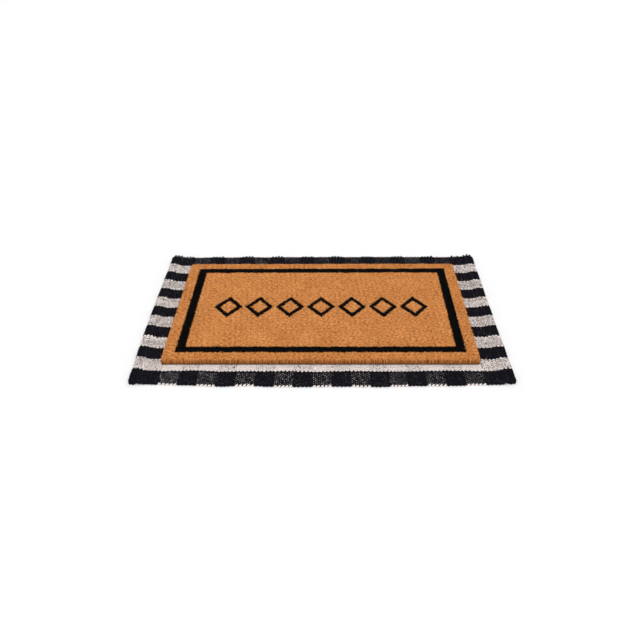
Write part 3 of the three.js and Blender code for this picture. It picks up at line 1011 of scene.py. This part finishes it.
def pile_sides():
    """The upright fibres of the mat's cut edge."""
    soup = Soup()
    for row in range(SIDE_ROWS):
        place, facing = outline((SIDE_INSET[0] + SIDE_INSET[1] * row) * MM, SIDE_SPACING)
        count = len(place)
        clump = soft_noise(place[:, 0], place[:, 1], *SIDE_CLUMP)
        hollow = CLUMP_HOLLOW * np.clip(-clump, 0, 2)
        place = place + RANDOM.normal(0, SIDE_JITTER, (count, 2)) - facing * hollow[:, None]
        top = PILE_TOP - RANDOM.uniform(*SIDE_TOP, count) * MM
        middle = blend_between(PILE_FLOOR, top, RANDOM.uniform(*SIDE_BEND, count))
        splay = facing * RANDOM.normal(*SIDE_SPLAY, (count, 1))
        lean = RANDOM.normal(0, SIDE_LEAN, (count, 2))
        curve = RANDOM.normal(0, SIDE_CURVE, (count, 2))
        foot = np.column_stack([place, np.full(count, PILE_FLOOR - ROOT_DEPTH)])
        bend = np.column_stack([place + BEND_SPLAY * splay + BEND_LEAN * lean + curve, middle])
        head = np.column_stack([place + splay + lean, top])
        # painted shade in the hollows between clumps, lighter on the clumps
        shades = FIBRE_TONE[0] + RANDOM.normal(0, SIDE_SPREAD, count) + CLUMP_PAINTED_SHADE * clump
        add_side_fibres(soup, foot, bend, head, RANDOM.uniform(*SIDE_BREADTH, count) * MM, shades)
    piece = soup.piece("pile_sides", MATERIALS["coir_natural"], False)
    finish_piece(piece, "coir_mat", "coir_natural", "coir_border")


BACKING_BEVEL = 0.5 * MM
BACKING_STEP = 6 * MM  # between the points of its outline


def backing():
    """The sheet of vinyl under the pile, with its edges rounded over."""
    rings = []
    place, facing = outline(0, BACKING_STEP)
    for inset, height in (
        (BACKING_BEVEL, backing_low.z),
        (0, backing_low.z + BACKING_BEVEL),
        (0, backing_high.z - BACKING_BEVEL),
        (BACKING_BEVEL, backing_high.z),
    ):
        rings.append(np.column_stack([place - facing * inset, np.full(len(place), height)]))
    count = len(rings[0])
    mesh = bpy.data.meshes.new("backing")
    faces = [tuple(range(count))[::-1], tuple(3 * count + i for i in range(count))]
    for ring in range(3):
        for i in range(count):
            ahead = (i + 1) % count
            low, high = ring * count, (ring + 1) * count
            faces.append((low + i, low + ahead, high + ahead, high + i))
    mesh.from_pydata(np.concatenate(rings).tolist(), [], faces)
    mesh.materials.append(MATERIALS["vinyl_backing"])
    finish_piece(add_object("backing", mesh), "coir_mat", "vinyl_backing", "vinyl_backing")


# ---------------------------------------------------------------- studio


FLOOR_REACH = 80
FLOOR_COLOUR = (0.865, 0.865, 0.87, 1)
SKY_STRENGTH = 0.74
KEY_STRENGTH = 1.65
KEY_SPREAD = math.radians(50)
KEY_TURN = (math.radians(34), math.radians(14), 0)


def studio():
    """A wide pale floor, soft light all round and a broad sun high in front, a little to the right."""
    mesh = bpy.data.meshes.new("floor")
    far = FLOOR_REACH
    corners = [(-far, -far, 0), (far, -far, 0), (far, far, 0), (-far, far, 0)]
    mesh.from_pydata(corners, [], [(0, 1, 2, 3)])
    nodes = Nodes("floor")
    nodes.shader.inputs["Base Color"].default_value = FLOOR_COLOUR
    nodes.shader.inputs["Roughness"].default_value = 0.9
    nodes.shader.inputs["Specular IOR Level"].default_value = 0.1
    mesh.materials.append(nodes.material)
    add_object("floor", mesh)

    world = bpy.data.worlds.new("studio")
    bpy.context.scene.world = world
    world.use_nodes = True
    sky = world.node_tree.nodes["Background"]
    sky.inputs["Color"].default_value = WHITE
    sky.inputs["Strength"].default_value = SKY_STRENGTH

    lamp = bpy.data.lights.new("key", "SUN")
    lamp.energy = KEY_STRENGTH
    lamp.angle = KEY_SPREAD
    add_object("key", lamp).rotation_euler = KEY_TURN


SENSOR = 36  # width of the camera's sensor and its focal length, in millimetres
FOCAL_LENGTH = 38.5
CAMERA_PLACE = (0.0239, -1.5188, 1.0182)
CAMERA_PAN = math.radians(1.02)
CAMERA_TILT = math.radians(55.59)  # up from straight down
CAMERA_ROLL = math.radians(-0.63)


def camera():
    """The view from in front and above, nearly along the rug's middle."""
    lens = bpy.data.cameras.new("camera")
    lens.sensor_width = SENSOR
    lens.lens = FOCAL_LENGTH
    viewer = add_object("camera", lens)
    aim = Matrix.Rotation(CAMERA_PAN, 3, "Z") @ Matrix.Rotation(CAMERA_TILT, 3, "X")
    viewer.rotation_euler = (aim @ Matrix.Rotation(CAMERA_ROLL, 3, "Z")).to_euler()
    viewer.location = CAMERA_PLACE
    bpy.context.scene.camera = viewer


bpy.context.scene.view_settings.view_transform = "Standard"
camera()
studio()
rug()
pile()
pile_sides()
backing()
